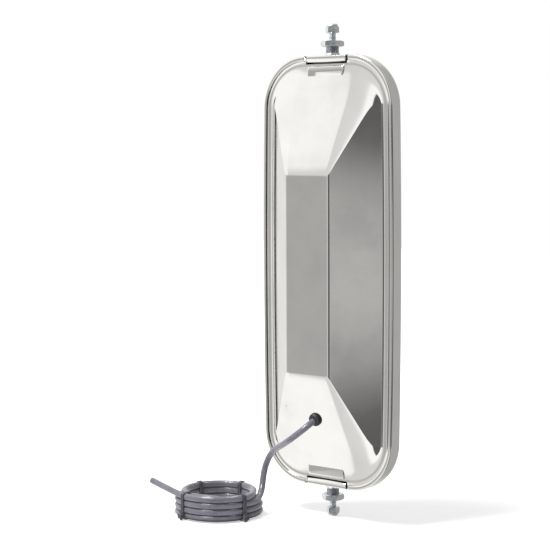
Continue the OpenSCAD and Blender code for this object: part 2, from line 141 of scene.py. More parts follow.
class Tree:
    """A node tree that is built one node at a time."""

    def __init__(self, nodes, links):
        self.nodes, self.links = nodes, links

    def node(self, kind, settings=None, sockets=None, out=0):
        made = self.nodes.new(kind)
        for name, setting in (settings or {}).items():
            if name == "stops":
                ramp = made.color_ramp
                while len(ramp.elements) < len(setting):
                    ramp.elements.new(0.5)
                for element, (place, colour) in zip(ramp.elements, setting):
                    element.position, element.color = place, (*colour, 1)
            else:
                setattr(made, name, setting)
        for name, given in (sockets or {}).items():
            if isinstance(given, Value):
                self.links.new(given.socket, made.inputs[name])
            else:
                made.inputs[name].default_value = given
        return Value(self, made.outputs[out])

    def place(self):
        return self.node("ShaderNodeTexCoord", out="Object")

    def multiplied(self, a, b):
        return self.node("ShaderNodeVectorMath", {"operation": "MULTIPLY"}, {0: a, 1: b})

    def noise(self, place, scale, detail=3.0, rough=0.5):
        sockets = {"Vector": place, "Scale": scale, "Detail": detail, "Roughness": rough}
        return self.node("ShaderNodeTexNoise", {}, sockets)

    def ramp(self, value, stops):
        return self.node("ShaderNodeValToRGB", {"stops": stops}, {0: value})

    def between(self, value, low, high):
        """0 where the value is at or under low, 1 where it is at or over high."""
        return self.node("ShaderNodeMapRange", {}, {"Value": value, 1: low, 2: high})

    def blend(self, mask, a, b):
        """Colour a where the mask is 0, and b where it is 1."""
        sockets = {"Factor": mask, 6: rgba(a), 7: rgba(b)}
        return self.node("ShaderNodeMix", {"data_type": "RGBA"}, sockets, out=2)

    def bump(self, height, strength, distance):
        sockets = {"Height": height, "Strength": strength, "Distance": distance}
        return self.node("ShaderNodeBump", {}, sockets)


def rgba(colour):
    return colour if isinstance(colour, Value) else (*colour[:3], 1)


def finish_of(name, **sockets):
    """A new material with its shader's constants, and the tree to add its nodes to."""
    material = bpy.data.materials.new(name)
    material.use_nodes = True
    nodes = material.node_tree.nodes
    tree = Tree(nodes, material.node_tree.links)
    shader = nodes["Principled BSDF"]
    for socket, given in sockets.items():
        shader.inputs[socket.replace("_", " ")].default_value = given
    return material, tree, shader


def feed(tree, shader, **sockets):
    """Links what varies over the surface to the shader."""
    for socket, value in sockets.items():
        tree.links.new(value.socket, shader.inputs[socket.replace("_", " ")])


def polished_steel(name, light, dark, gloss, haze):
    """Buffed stainless sheet: faint upright polishing lines, smudges and a few hairlines."""
    material, tree, shader = finish_of(name, Metallic=1.0)
    place = tree.place()
    smudge = tree.noise(place, scale=22, detail=4, rough=0.55)
    lines = tree.noise(tree.multiplied(place, (1400, 1400, 55)), scale=1, detail=2)
    hairs = tree.noise(tree.multiplied(place, (60, 60, 1500)), scale=1, detail=3, rough=0.7)
    hair_mask = tree.between(hairs, 0.66, 0.72)
    clouded = tree.between(smudge, 0.42, 0.68)
    feed(
        tree,
        shader,
        Base_Color=tree.blend(clouded, light, dark),
        Roughness=gloss + clouded * haze + lines * 0.03 + hair_mask * 0.05,
        Normal=tree.bump(lines + hair_mask * 0.4, strength=0.04, distance=0.02 * MM),
    )
    return material


def hardware_metal(name, light, dark, rough, mottle):
    """Plated or plain metal of the small parts: cloudy, finely turned, with brighter wear."""
    material, tree, shader = finish_of(name, Metallic=1.0)
    place = tree.place()
    cloud = tree.noise(place, scale=mottle, detail=5, rough=0.6)
    turned = tree.noise(tree.multiplied(place, (250, 250, 3200)), scale=1, detail=2)
    worn = tree.between(tree.noise(place, scale=900, detail=4), 0.56, 0.7)
    mask = tree.between(cloud, 0.35, 0.65)
    feed(
        tree,
        shader,
        Base_Color=tree.blend(worn * 0.5, tree.blend(mask, dark, light), (0.8, 0.8, 0.78)),
        Roughness=rough + mask * 0.12 + turned * 0.1,
        Normal=tree.bump(turned + cloud * 0.6, strength=0.18, distance=0.06 * MM),
    )
    return material


def moulded(name, light, dark, rough, fineness=1800, grain=0.25):
    """Rubber or plastic: fine grain, dusty lighter patches and slightly uneven gloss."""
    material, tree, shader = finish_of(name)
    place = tree.place()
    dust = tree.between(tree.noise(place, scale=90, detail=5, rough=0.65), 0.45, 0.75)
    grains = tree.noise(place, scale=fineness)
    feed(
        tree,
        shader,
        Base_Color=tree.blend(dust, dark, light),
        Roughness=rough + dust * 0.1 + grains * 0.08,
        Normal=tree.bump(grains, strength=grain, distance=0.08 * MM),
    )
    return material


def jacket(name):
    """Extruded vinyl jacket: purple-grey, satin and scuffed, with painted shade where turns touch.
    """
    material, tree, shader = finish_of(name, Specular_IOR_Level=0.12, Coat_Roughness=0.16)
    place = tree.place()
    tone = tree.noise(place, scale=45)
    scuff = tree.between(tree.noise(place, scale=420, detail=5, rough=0.7), 0.58, 0.72)
    grain = tree.noise(place, scale=2600, detail=2)
    reach = {"Distance": 7 * MM}
    open_air = tree.node("ShaderNodeAmbientOcclusion", {"samples": 8}, reach, out="AO")
    unshaded = tree.between(open_air, 0.4, 0.9)
    body = tree.blend(tree.between(tone, 0.3, 0.7), (0.12, 0.114, 0.145), (0.175, 0.166, 0.205))
    body = tree.blend(scuff * 0.45, body, (0.42, 0.41, 0.45))
    feed(
        tree,
        shader,
        # Painted shade: near black where the turns lie close together, and the coat's gloss fades
        # out there too
        Base_Color=tree.blend(unshaded, (0.012, 0.012, 0.015), body),
        Roughness=0.4 + scuff * 0.2 + tone * 0.1,
        Coat_Weight=unshaded * 0.9,
        Normal=tree.bump(grain + scuff * 0.5, strength=0.12, distance=0.08 * MM),
    )
    return material


def silvered_glass(name):
    """Mirror: near perfect reflection under clear glass, with a few water spots."""
    material, tree, shader = finish_of(name, Metallic=1.0, Coat_Weight=1.0, Coat_Roughness=0.0)
    place = tree.place()
    spots = tree.between(tree.noise(place, scale=160, detail=4, rough=0.6), 0.66, 0.74)
    film = tree.noise(place, scale=14)
    feed(
        tree,
        shader,
        Base_Color=tree.blend(film, (0.86, 0.89, 0.9), (0.9, 0.92, 0.93)),
        Roughness=0.012 + spots * 0.03 + film * 0.01,
    )
    return material


def white_sweep(name):
    """White paper floor that glows into the white of the studio away from the part."""
    paper = (0.92, 0.92, 0.92, 1)
    material, tree, shader = finish_of(
        name, Base_Color=paper, Roughness=0.6, Emission_Strength=1.0
    )
    length = {"operation": "LENGTH"}
    away = tree.node("ShaderNodeVectorMath", length, {0: tree.place()}, out="Value")
    glow = tree.blend(tree.between(away, 0.3, 1.1), (0.42, 0.42, 0.42), (1.0, 1.0, 1.0))
    feed(tree, shader, Emission_Color=glow)
    return material


STEEL = polished_steel("polished_shell", (0.8, 0.79, 0.77), (0.74, 0.735, 0.72), 0.055, 0.045)
RIM_STEEL = polished_steel("polished_rim", (0.82, 0.81, 0.795), (0.77, 0.765, 0.75), 0.07, 0.05)
ZINC = hardware_metal("zinc_plate", (0.8, 0.83, 0.85), (0.6, 0.63, 0.65), 0.2, 260)
DARK_ZINC = hardware_metal("dark_plate", (0.4, 0.42, 0.47), (0.26, 0.28, 0.32), 0.24, 260)
SPRING_STEEL = hardware_metal("spring_steel", (0.3, 0.3, 0.32), (0.2, 0.2, 0.22), 0.35, 300)
ALUMINIUM = hardware_metal("aluminium", (0.78, 0.78, 0.78), (0.66, 0.66, 0.67), 0.32, 200)
TINNED_BRASS = hardware_metal("tinned_brass", (0.8, 0.7, 0.45), (0.66, 0.56, 0.34), 0.3, 300)
COPPER = hardware_metal("copper_strand", (0.85, 0.45, 0.28), (0.6, 0.3, 0.18), 0.3, 900)
# Painted shade: the spine strap is black so the gap under each end clip reads dark
SHADE_BLACK = moulded("shade_black", (0.035, 0.035, 0.037), (0.015, 0.015, 0.017), 0.42)
RUBBER = moulded("black_rubber", (0.028, 0.03, 0.035), (0.012, 0.013, 0.016), 0.42)
FOAM = moulded("foam", (0.07, 0.07, 0.075), (0.03, 0.03, 0.034), 0.85, fineness=1200, grain=0.7)
HEATER_FILM = moulded("heater_film", (0.72, 0.42, 0.16), (0.6, 0.33, 0.1), 0.3)
GREY_NYLON = moulded("grey_nylon", (0.085, 0.08, 0.1), (0.045, 0.043, 0.056), 0.34)
PALE_NYLON = moulded("pale_nylon", (0.62, 0.61, 0.6), (0.5, 0.49, 0.47), 0.35)
WHITE_NYLON = moulded("white_nylon", (0.75, 0.75, 0.72), (0.62, 0.62, 0.58), 0.4)
SPLICE_BLUE = moulded("splice_blue", (0.05, 0.12, 0.45), (0.03, 0.08, 0.35), 0.25)
WIRE_RED = moulded("wire_red", (0.5, 0.03, 0.03), (0.36, 0.02, 0.02), 0.35)
WIRE_WHITE = moulded("wire_white", (0.8, 0.8, 0.78), (0.7, 0.7, 0.68), 0.35)
WIRE_BLACK = moulded("wire_black", (0.03, 0.03, 0.03), (0.02, 0.02, 0.02), 0.35)
JACKET = jacket("cable_jacket")
GLASS = silvered_glass("mirror_glass")
FLOOR = white_sweep("floor")

FINISHES = {
    "back_shell": STEEL, "rim_left": RIM_STEEL, "rim_right": RIM_STEEL,
    "upper_clip": RIM_STEEL, "lower_clip": RIM_STEEL,
    "mirror_glass": GLASS, "glass_gasket": RUBBER, "heater_pad": HEATER_FILM,
    "foam_sheet": FOAM, "backing_pan": ZINC,
    # The spine strap's black is painted shade for the gaps under the end clips
    "spine_strap": SHADE_BLACK, "strap_spacers": ZINC, "strap_rivets": ALUMINIUM,
    "grommet": RUBBER, "inner_cable": JACKET, "cable_clamp": GREY_NYLON, "clamp_screw": ZINC,
    "wire_splices": SPLICE_BLUE, "heater_wires": WIRE_RED, "heater_terminals": TINNED_BRASS,
    "thermostat": ALUMINIUM, "lead_cable": JACKET, "cable_coil": JACKET, "cable_tail": JACKET,
    "cable_ties": GREY_NYLON,
}
# The hardware that both ends have, named without its end
END_FINISHES = {
    "bushing": ZINC, "stud": ZINC, "neck_sleeve": DARK_ZINC, "hex_nut": ZINC,
    "thrust_washer": ZINC, "wave_washer": SPRING_STEEL, "nut_ring": WHITE_NYLON, "lock_nut": ZINC,
}
for end in ("upper", "lower"):
    FINISHES.update({end + "_" + name: finish for name, finish in END_FINISHES.items()})


def finish_cad_nodes():
    for name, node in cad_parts.items():
        node.data.materials.clear()
        node.data.materials.append(FINISHES[name])


finish_cad_nodes()


# ---------- mesh helpers ----------


def piece(name, points, faces, material, body, replaces=(), slot=None):
    """A smooth mesh that rides on a body and may take the place of CAD nodes."""
    mesh = bpy.data.meshes.new(name)
    mesh.from_pydata([tuple(p) for p in points], [], faces)
    tidy = bmesh.new()
    tidy.from_mesh(mesh)
    bmesh.ops.recalc_face_normals(tidy, faces=tidy.faces)
    tidy.to_mesh(mesh)
    tidy.free()
    mesh.materials.append(material)
    mesh.polygons.foreach_set("use_smooth", [True] * len(mesh.polygons))
    made = bpy.data.objects.new(name, mesh)
    bpy.context.scene.collection.objects.link(made)
    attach(made, body)
    if replaces:
        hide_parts(*replaces)
    return made


def skin(rings, start, closed_path=False):
    """Points and faces of a skin over rings that all have the same number of points."""
    count, across = len(rings), len(rings[0])
    faces = []
    for i in range(count if closed_path else count - 1):
        here, there = start + i * across, start + (i + 1) % count * across
        for j in range(across):
            k = (j + 1) % across
            faces.append((here + j, here + k, there + k, there + j))
    if not closed_path:
        faces.append(tuple(start + i for i in reversed(range(across))))
        faces.append(tuple(start + (count - 1) * across + i for i in range(across)))
    points = [p for ring in rings for p in ring]
    return points, faces


class Parts:
    """Collects several skins for one piece."""

    def __init__(self):
        self.points, self.faces = [], []

    def add(self, rings, closed_path=False):
        points, faces = skin(rings, len(self.points), closed_path)
        self.points += points
        self.faces += faces
        return self

    def piece(self, name, material, body, **how):
        return piece(name, self.points, self.faces, material, body, **how)


def turned_ring(place, sides, height, radius_at):
    """One ring about an axis. place puts (x, y, height along the axis) in the frame."""
    angles = [TURN * k / sides for k in range(sides)]
    return [
        place(radius_at(a) * math.cos(a), radius_at(a) * math.sin(a), height) for a in angles
    ]


def lathe(outline, place, sides):
    """Rings of a turned shape, whose outline holds (radius, height) points."""
    return [turned_ring(place, sides, height, lambda a: radius) for radius, height in outline]


def bend_point(a, b, c, t):
    """The point t of the way along a quadratic bend from a to c that leans on b."""
    return (1 - t) ** 2 * a + 2 * t * (1 - t) * b + t * t * c


def rounded(corners, steps):
    """An open profile of (a, b, radius) corners with each radius drawn as a quadratic bend."""
    line = []
    for i, (a, b, radius) in enumerate(corners):
        if radius == 0 or i in (0, len(corners) - 1):
            line.append((a, b))
            continue
        here = Vector((a, b))
        before = Vector(corners[i - 1][:2]) - here
        after = Vector(corners[i + 1][:2]) - here
        start = here + before.normalized() * min(radius, before.length / 2)
        end = here + after.normalized() * min(radius, after.length / 2)
        line += [tuple(bend_point(start, here, end, k / steps)) for k in range(steps + 1)]
    return line


# ---------- outlines of the head ----------

RIM_LOW, RIM_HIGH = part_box("rim_right")
MID_Z = (RIM_LOW.z + RIM_HIGH.z) / 2
RIM_H = RIM_HIGH.z - RIM_LOW.z
SIDE_BOW = 1.5 * MM
RIM_W = 2 * (RIM_HIGH.x - SIDE_BOW)
RIM_R = 48 * MM
SHEET = 0.8 * MM
BACK_Y = RIM_LOW.y
FRONT_Y = RIM_HIGH.y
FLANGE_Y = BACK_Y + SHEET
FLAT_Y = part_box("back_shell")[0].y
FLAT_W, FLAT_H, FLAT_R = 51 * MM, 190 * MM, 4 * MM
# How far inside the rim's outline the slopes start
FOOT_SIDE, FOOT_END = 10.7 * MM, 13.5 * MM
SLOPE_RISE = FLANGE_Y - FLAT_Y
SLOPE_RUN = RIM_H / 2 - FOOT_END - FLAT_H / 2
CORNER_STEPS = 22
SIDE_STEPS = 10


def right_outline(side, end, less_round, bow=SIDE_BOW):
    """Right half of the rim's outline, `side` and `end` further in, from top to bottom."""
    half_w, half_h, r = RIM_W / 2 - side, RIM_H / 2 - end, RIM_R - less_round
    corner = [math.pi / 2 * (1 - i / CORNER_STEPS) for i in range(CORNER_STEPS + 1)]
    top = [(half_w - r + r * math.cos(a), half_h - r + r * math.sin(a)) for a in corner]
    sides = []
    for i in range(1, SIDE_STEPS):
        t = 1 - 2 * i / SIDE_STEPS
        sides.append((half_w + bow * (1 - t * t), t * (half_h - r)))
    return top + sides + [(x, -z) for x, z in reversed(top)]


def ridged_half(half_w, half_h, r, bow, ridge):
    """Right half of an outline whose corners meet its side at a ridge and not smoothly."""
    close = 0.5 * MM
    step = (math.pi / 2 - ridge) / CORNER_STEPS
    turns = [math.pi / 2 - step * i for i in range(CORNER_STEPS)]
    turns += [ridge + min(close / r, step / 2), ridge]
    in_x, in_z = half_w - r * math.cos(ridge), half_h - r
    top = [(in_x + r * math.cos(a), in_z + r * math.sin(a)) for a in turns]
    z_ridge = top[-1][1]
    side = [z_ridge - close]
    side += [z_ridge * (1 - 2 * i / SIDE_STEPS) for i in range(1, SIDE_STEPS // 2)]
    top += [(half_w + bow * (1 - (z / z_ridge) ** 2), z) for z in side]
    return top + [(half_w + bow, 0)] + [(x, -z) for x, z in reversed(top)]


def whole(right):
    return right + [(-x, z) for x, z in reversed(right)]


def upright(line, y):
    """Puts a flat outline of (x, z) at depth y, about the middle of the head."""
    return [(x, y, MID_Z + z) for x, z in line]


# ---------- back shell ----------

# The notch in each end of the shell's edge, which the end clip passes
SLOT_HALF = 24 * MM
SLOT_FOOT = 8 * MM
# The shell's edge inside the rim, and the innermost ring inside the flat's outline
EDGE_IN = 1.6 * MM
INNERMOST_IN, INNERMOST_R = 6 * MM, 2 * MM
# Angle of the ridge between side and end slopes, at the foot and from RIDGE_RUN up the slope
FOOT_RIDGE, FULL_RIDGE, RIDGE_RUN = math.radians(8), math.radians(33), 0.35
# How much of the slope the fold at its foot takes, and where rings are drawn above it
FOLD_SHARE = 0.06
SLOPE_STATIONS = (0.1, 0.15, 0.21, 0.28, 0.36, 0.5, 0.65, 0.8, 0.88)


def curve_rings(a, b, c, share_in, share_out, steps):
    """Ring sizes along a bend from a, by b, to c."""
    a, b, c = Vector(a), Vector(b), Vector(c)
    start, end = b + (a - b) * share_in, b + (c - b) * share_out
    return [bend_point(start, b, end, i / steps) for i in range(steps + 1)]


def shell_ring(size, depth, notch=False):
    """One ring of the pressed back, `depth` further in than its size says."""
    half_w, half_h, r, bow, y, ridge = size
    right = ridged_half(half_w, half_h, r, bow, ridge)
    inner_x = min(SLOT_HALF, (half_w - r) * 0.98)
    foot = RIM_H / 2 - SLOT_FOOT if notch else half_h
    top = [(0, foot), (inner_x * 0.5, foot), (inner_x - 0.02 * MM, foot), (inner_x, half_h)]
    right = top + right + [(x, -z) for x, z in reversed(top)]
    outline = right + [(-x, z) for x, z in reversed(right[1:-1])]
    return upright(outline, y + depth)


def inside_rim(side, end, y, ridge):
    """A ring's size: half width, half height, corner radius, bow, y and ridge."""
    return (RIM_W / 2 - side, RIM_H / 2 - end, RIM_R - side, SIDE_BOW, y, ridge)


def slope_ring(foot, top, up):
    """The ring `up` of the way from the foot of the slopes to the flat."""
    *size, ridge = Vector(foot).lerp(Vector(top), up)
    near = 1 - min(1, up / RIDGE_RUN)
    ridge = FULL_RIDGE + (FOOT_RIDGE - FULL_RIDGE) * near ** 2
    return Vector((*size, ridge))


def make_back_shell():
    """The pressed sheet: flange, fold, four slopes and the raised flat."""
    edge = inside_rim(EDGE_IN, EDGE_IN, FLANGE_Y, 0)
    foot = inside_rim(FOOT_SIDE, FOOT_END, FLANGE_Y, FOOT_RIDGE)
    top = (FLAT_W / 2, FLAT_H / 2, FLAT_R, 0, FLAT_Y, FULL_RIDGE)
    innermost = (
        FLAT_W / 2 - INNERMOST_IN, FLAT_H / 2 - INNERMOST_IN, INNERMOST_R, 0, FLAT_Y, FULL_RIDGE
    )
    fold_end = slope_ring(foot, top, FOLD_SHARE)
    line = [Vector(edge), Vector(edge).lerp(Vector(foot), 0.55)]
    line += curve_rings(edge, foot, fold_end, share_in=0.34, share_out=1, steps=10)
    line += [slope_ring(foot, top, up) for up in SLOPE_STATIONS]
    line += curve_rings(foot, top, innermost, share_in=0.07, share_out=0.6, steps=12)
    line.append(Vector(innermost))
    outside = [shell_ring(size, 0, notch=i == 0) for i, size in enumerate(line)]
    inside = [shell_ring(size, SHEET, notch=i == 0) for i, size in enumerate(line)]
    Parts().add(inside[::-1] + outside).piece(
        "pressed_back", STEEL, "head", replaces=["back_shell"], slot="polished_stainless"
    )


make_back_shell()


# ---------- pads at the ends of the shell ----------

PAD_HALF = 20.5 * MM
PAD_TOP = 10.6 * MM
PAD_RISE = 1.8 * MM
PAD_R = 2.2 * MM
PAD_CORNER_STEPS = 6
# The pad's rounded skirt as (further out, further down), from its foot to its face
PAD_SKIRT = [
    (1.3 * MM, 1.9 * MM), (0.75 * MM, 1.25 * MM), (0.3 * MM, 0.35 * MM), (0, 0.06 * MM),
    (-0.8 * MM, 0),
]


def pad_outline(half_w, high, low):
    """A rectangle of (x, z) with round corners, clockwise from its upper right one."""
    line = []
    for right, upper, start in ((1, 1, 90), (1, -1, 0), (-1, -1, -90), (-1, 1, 180)):
        for k in range(PAD_CORNER_STEPS + 1):
            a = math.radians(start - 90 * k / PAD_CORNER_STEPS)
            centre_z = high - PAD_R if upper > 0 else low + PAD_R
            x = right * (half_w - PAD_R) + PAD_R * math.cos(a)
            line.append((x, centre_z + PAD_R * math.sin(a)))
    return line


def make_end_pads():
    """The shallow flat pressing at each end, which dies into the slope."""
    high = RIM_H / 2 - PAD_TOP
    low = RIM_H / 2 - FOOT_END - PAD_RISE * SLOPE_RUN / SLOPE_RISE - PAD_R
    made = Parts()
    for end in (1, -1):
        rings = []
        for out, down in PAD_SKIRT:
            line = [(x, z * end) for x, z in pad_outline(PAD_HALF + out, high + out, low)]
            rings.append(upright(line, FLANGE_Y - PAD_RISE + down))
        made.add(rings)
    made.piece("end_pads", STEEL, "head", slot="polished_stainless")


make_end_pads()


# ---------- rim ----------

BEZEL = 8.5 * MM
HEM = 1.0 * MM
HEM_R = 0.3 * MM
LIP_SIDE, LIP_END, LIP_R = 3.3 * MM, 4.9 * MM, 0.15 * MM
BACK_BEND = 1.6 * MM
BACK_FLAT = 2.2 * MM
BEND_STEPS, ROLL_STEPS = 6, 16


def quarter(steps, every=1):
    """Angles over a quarter turn, or back over it when `every` is negative."""
    order = range(0, steps + 1) if every > 0 else range(steps, -1, every)
    return [math.pi / 2 * i / steps for i in order]


def rim_section():
    """Closed section of the rolled sheet, as (in along the sides, in at the ends, y)."""
    hem, hem_y = BEZEL + HEM, FRONT_Y - SHEET - HEM
    inner_bend, inner_roll = BACK_BEND - SHEET, BEZEL - SHEET
    outside = [(BACK_FLAT, BACK_Y)]
    for a in quarter(BEND_STEPS):
        outside.append((BACK_BEND * (1 - math.sin(a)), BACK_Y + BACK_BEND * (1 - math.cos(a))))
    for a in quarter(ROLL_STEPS):
        outside.append((BEZEL * (1 - math.cos(a)), FRONT_Y * math.sin(a)))
    outside += [(hem - HEM_R, FRONT_Y), (hem, FRONT_Y - HEM_R)]
    inside = [(hem, hem_y + HEM_R), (hem - HEM_R, hem_y), (BEZEL, hem_y)]
    for a in quarter(ROLL_STEPS, every=-2):
        inside.append((SHEET + inner_roll * (1 - math.cos(a)), (FRONT_Y - SHEET) * math.sin(a)))
    for a in quarter(BEND_STEPS, every=-2):
        depth = inner_bend * (1 - math.cos(a))
        inside.append((SHEET + inner_bend * (1 - math.sin(a)), FLANGE_Y + depth))
    return (
        [(LIP_SIDE - LIP_R, LIP_END - LIP_R, BACK_Y)]
        + [(u, u, y) for u, y in outside + inside]
        + [(LIP_SIDE - LIP_R, LIP_END - LIP_R, FLANGE_Y), (LIP_SIDE, LIP_END, FLANGE_Y - LIP_R)]
        + [(LIP_SIDE, LIP_END, BACK_Y + LIP_R)]
    )


def make_rim(hand, side):
    """One half of the rim: its section carried round the outline, from joint to joint."""
    x_end = RIM_LOW.x
    lines = []
    for along, end, y in rim_section():
        half_h = RIM_H / 2 - end
        tops = [(x_end, half_h), (x_end + 0.6 * MM, half_h)]
        line = tops + right_outline(along, end, along) + [(x, -z) for x, z in reversed(tops)]
        lines.append(upright([(side * x, z) for x, z in line], y))
    rings = [[line[i] for line in lines] for i in range(len(lines[0]))]
    Parts().add(rings).piece(
        "rim_roll_" + hand, RIM_STEEL, "head", replaces=["rim_" + hand], slot="polished_stainless"
    )


make_rim("right", 1)
make_rim("left", -1)


# ---------- end frames: the rim's end is height 0, and outwards is up ----------


def at_upper_end(x, y, out):
    return (x, y, RIM_HIGH.z + out)


def at_lower_end(x, y, out):
    return (x, y, RIM_LOW.z - out)


ENDS = {"upper": at_upper_end, "lower": at_lower_end}


# ---------- end clips ----------

CLIP_HALF = 22.5 * MM
CLIP_T = 1.0 * MM
CLIP_LIP = 6.0 * MM
LIP_FROM = 2 * MM
# Outer and inner radii of the bends at the back and at the front
CLIP_BACK_BENDS = (1.5 * MM, 0.8 * MM)
CLIP_FRONT_BENDS = (2.6 * MM, 1.8 * MM)
# How much lower the middle of the lip hangs, and how far its ends are ground back
CLIP_SAG = 0.5 * MM
CLIP_GRIND = 0.12 * MM
CLIP_STATIONS = (-1, -0.994, -0.9, -0.6, -0.3, 0, 0.3, 0.6, 0.9, 0.994, 1)


def clip_section():
    """Closed section of a clip as (y, out) points."""
    outer = [
        (BACK_Y, -CLIP_LIP, 0), (BACK_Y, 0, CLIP_BACK_BENDS[0]),
        (FRONT_Y, 0, CLIP_FRONT_BENDS[0]), (FRONT_Y, -BEZEL - HEM, 0),
    ]
    inner = [
        (FRONT_Y - SHEET, -BEZEL - HEM, 0), (FRONT_Y - SHEET, -CLIP_T, CLIP_FRONT_BENDS[1]),
        (FLANGE_Y, -CLIP_T, CLIP_BACK_BENDS[1]), (FLANGE_Y, -CLIP_LIP, 0),
    ]
    return rounded(outer, 8) + rounded(inner, 6)


def make_clip(end):
    """The folded cover over the rim's joint at one end, with a lip on the back of the shell."""
    place = ENDS[end]
    rings = []
    for along in CLIP_STATIONS:
        grind = CLIP_GRIND if abs(along) == 1 else 0
        sag = CLIP_SAG * (1 - along * along)
        ring = []
        for y, out in clip_section():
            on_lip = y < FLANGE_Y + 0.1 * MM
            lip = max(0, min(1, (-out - LIP_FROM) / (CLIP_LIP - LIP_FROM))) if on_lip else 0
            ground = grind if out < -LIP_FROM else 0
            ring.append(place(along * CLIP_HALF, y, out - sag * lip + ground))
        rings.append(ring)
    Parts().add(rings).piece(
        end + "_end_clip", RIM_STEEL, "head", replaces=[end + "_clip"], slot="polished_stainless"
    )


for end in ENDS:
    make_clip(end)


# ---------- studs with rolled threads ----------

SEAT = 13.5 * MM
TIP = 29.0 * MM
THREAD_START = SEAT + 7.2 * MM
GRIP_R, SHANK_R, CREST_R, ROOT_R = 3.175 * MM, 2.8 * MM, 3.1 * MM, 2.6 * MM
STUD_FOOT, STUD_HEAD, STUD_HEAD_R = -6.0 * MM, 1.5 * MM, 4.4 * MM
STUD_BEVEL = 0.2 * MM
CORE_R = 0.3 * MM
PITCH = 1.27 * MM
RUN_OUT, RUN_IN = 0.8 * MM, 0.9 * MM
STUD_SIDES, ROWS_PER_TURN = 48, 12
# The share of each thread turn's rise that its flat root and flat crest cut off
THREAD_FLAT = 0.12

# The stud below its thread, as (radius, height above the rim's end)
STUD_OUTLINE = [
    (0.4 * MM, STUD_FOOT), (STUD_HEAD_R - 0.3 * MM, STUD_FOOT),
    (STUD_HEAD_R, STUD_FOOT + 0.3 * MM), (STUD_HEAD_R, STUD_FOOT + STUD_HEAD),
    (SHANK_R, STUD_FOOT + STUD_HEAD), (SHANK_R, SEAT - 0.05 * MM),
    (GRIP_R - 0.15 * MM, SEAT), (GRIP_R, SEAT + STUD_BEVEL),
    (GRIP_R, THREAD_START - STUD_BEVEL), (GRIP_R - STUD_BEVEL, THREAD_START),
]


def thread_radius(angle, height, handed):
    """Radius of the rolled thread, which fades in at its start and out at the tip."""
    phase = ((height - THREAD_START) / PITCH - handed * angle / TURN) % 1.0
    rise = (1 - abs(2 * phase - 1) - THREAD_FLAT) / (1 - 2 * THREAD_FLAT)
    fade = min(1.0, (height - THREAD_START) / RUN_OUT, (TIP - height) / RUN_IN)
    return ROOT_R + (CREST_R - ROOT_R) * max(0.0, min(1.0, rise)) * max(0.0, fade)


def make_stud(end):
    """Stud with a shouldered head, a plain grip and a rolled thread up to a chamfered tip."""
    place = ENDS[end]
    handed = 1 if end == "upper" else -1
    rings = lathe(STUD_OUTLINE, place, STUD_SIDES)
    count = int((TIP - THREAD_START) / PITCH * ROWS_PER_TURN)
    for i in range(1, count + 1):
        height = THREAD_START + (TIP - THREAD_START) * i / count
        rings.append(
            turned_ring(place, STUD_SIDES, height, lambda a: thread_radius(a, height, handed))
        )
    rings += lathe([(ROOT_R - CORE_R, TIP), (CORE_R, TIP)], place, STUD_SIDES)
    made = Parts().add(rings).piece(
        end + "_threaded_stud", ZINC, end + "_stud", replaces=[end + "_stud"], slot="zinc_steel"
    )
    made.modifiers.new("crisp_shoulders", "EDGE_SPLIT").split_angle = math.radians(50)


for end in ENDS:
    make_stud(end)


# ---------- grommet ----------

GROMMET_Z = 80.5 * MM
GROMMET_STAND = 3.5 * MM
# Its section in mm, as (radius, height off the sheet, corner radius)
GROMMET_CORNERS = [
    (3.02, -3.0, 0), (5.8, -3.0, 0.6), (6.0, -1.3, 0.5), (4.8, -1.2, 0.2), (4.8, 0.05, 0.1),
    (6.2, 0.05, 0.3), (6.35, 1.4, 0.5), (5.7, 2.9, 0.9), (4.7, 3.5, 0.7), (3.35, 3.5, 0.4),
    (3.02, 2.9, 0),
]


def slope_frame():
    """The grommet's foot on the lower slope, and the slope's outward, across and up directions."""
    out = Vector((0, -SLOPE_RUN, -SLOPE_RISE)).normalized()
    across = Vector((1, 0, 0))
    up_the_slope = RIM_H / 2 - FOOT_END + GROMMET_Z - MID_Z
    foot = Vector((0, FLANGE_Y - SLOPE_RISE * up_the_slope / SLOPE_RUN, GROMMET_Z))
    return foot, out, across, out.cross(across)


GROMMET_FOOT, GROMMET_OUT, GROMMET_ACROSS, GROMMET_UP = slope_frame()


def on_slope(x, y, out):
    return tuple(GROMMET_FOOT + GROMMET_ACROSS * x + GROMMET_UP * y + GROMMET_OUT * out)


def make_grommet():
    line = [(r * MM, h * MM) for r, h in rounded(GROMMET_CORNERS, 5)]
    Parts().add(lathe(line, on_slope, 64), closed_path=True).piece(
        "rubber_grommet", RUBBER, "head", replaces=["grommet"], slot="black_rubber"
    )


make_grommet()


# ---------- cable: lead, coil and tail on one line ----------

CABLE_D = 6.0 * MM
COIL_X, COIL_Y = -0.090, -0.062
OUTER_R, INNER_R = 0.039, 0.033
LAYERS = [-0.0115, -0.0055, 0.0005, 0.0065]

# The route outside the coil: from the grommet down to it, and the free end
LEAD_ROUTE = [
    (-0.0005, -0.0359, 0.0768), (-0.0022, -0.0399, 0.0741), (-0.0047, -0.0430, 0.0711),
    (-0.0081, -0.0451, 0.0680), (-0.0120, -0.0460, 0.0649), (-0.0161, -0.0456, 0.0621),
    (-0.0203, -0.0440, 0.0598), (-0.0310, -0.0390, 0.0542), (-0.0402, -0.0340, 0.0498),
    (-0.0485, -0.0300, 0.0450), (-0.0551, -0.0274, 0.0392), (-0.0594, -0.0268, 0.0322),
    (-0.0612, -0.0282, 0.0245), (-0.0606, -0.0310, 0.0170), (-0.0585, -0.0351, 0.0102),
    (-0.0559, -0.0406, 0.0050), (-0.0535, -0.0472, 0.0018),
]
TAIL_ROUTE = [
    (-0.109, -0.0975, 0.007), (-0.120, -0.0948, 0.008), (-0.1315, -0.092, 0.0093),
    (-0.143, -0.0892, 0.0106), (-0.1545, -0.0864, 0.012),
]

